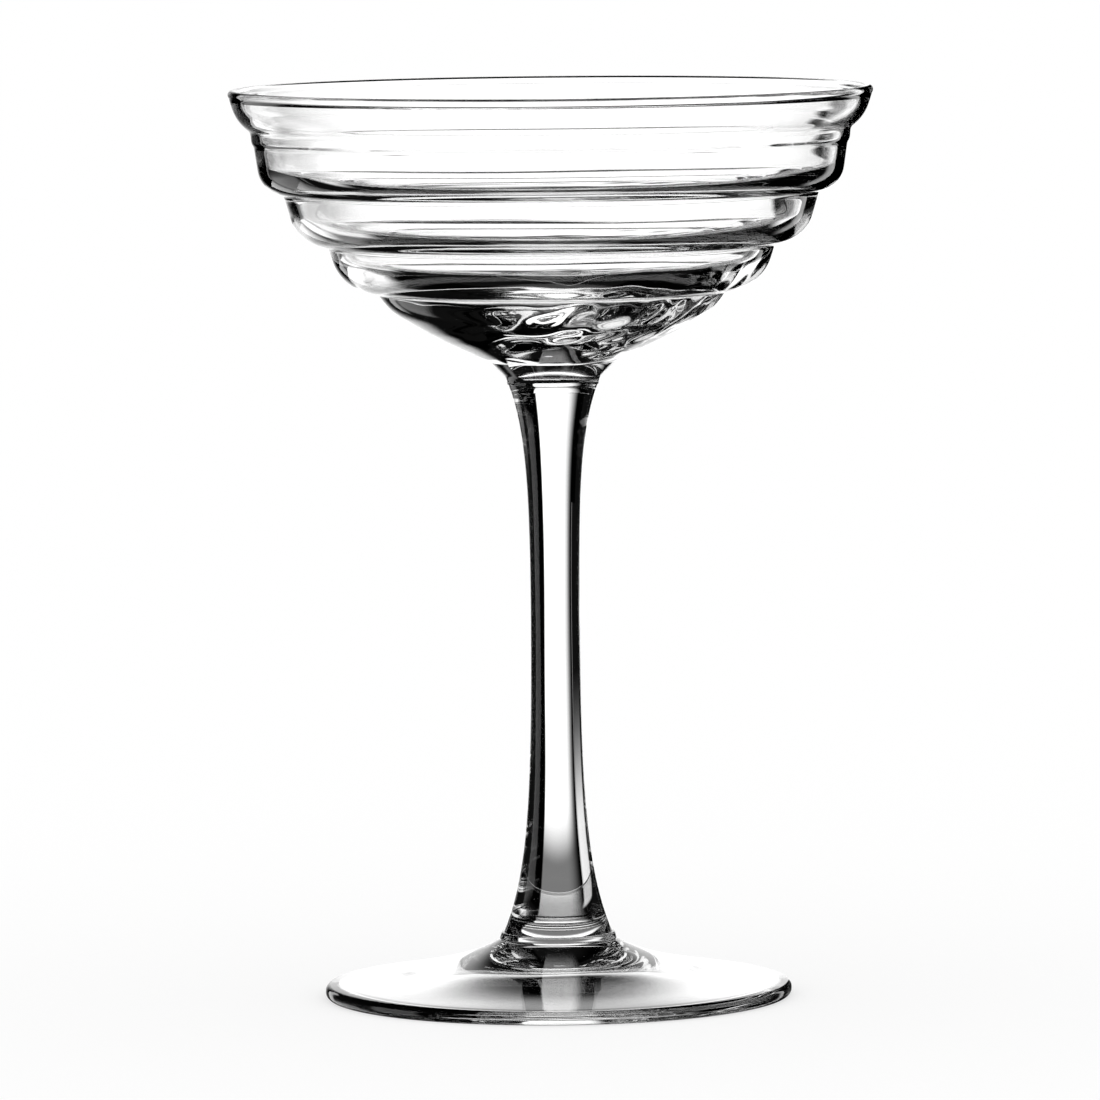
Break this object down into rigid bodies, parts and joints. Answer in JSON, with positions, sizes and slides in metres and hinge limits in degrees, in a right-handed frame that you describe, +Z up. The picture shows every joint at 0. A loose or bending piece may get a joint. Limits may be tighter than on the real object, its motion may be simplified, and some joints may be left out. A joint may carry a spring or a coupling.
{
  "type": "coupe glass",
  "caption": "Clear stemmed coupe glass: a wide stepped bowl with a beaded rim, a drawn solid stem with a joining button and collar, and a round trumpet-shaped foot.",
  "frame": {"origin": "on the glass's axis, in the plane of the ring that the foot stands on", "axes": "+Z up along the stem, +X to the right and +Y away from the viewer as pictured"},
  "size_m": [0.105, 0.105, 0.1488],
  "materials": {
    "clear_glass": "fire-polished"
  },
  "bodies": {
    "root": {"foot": "clear_glass", "foot_collar": "clear_glass", "stem": "clear_glass", "bowl_button": "clear_glass", "bowl": "clear_glass"}
  },
  "joints": []
}
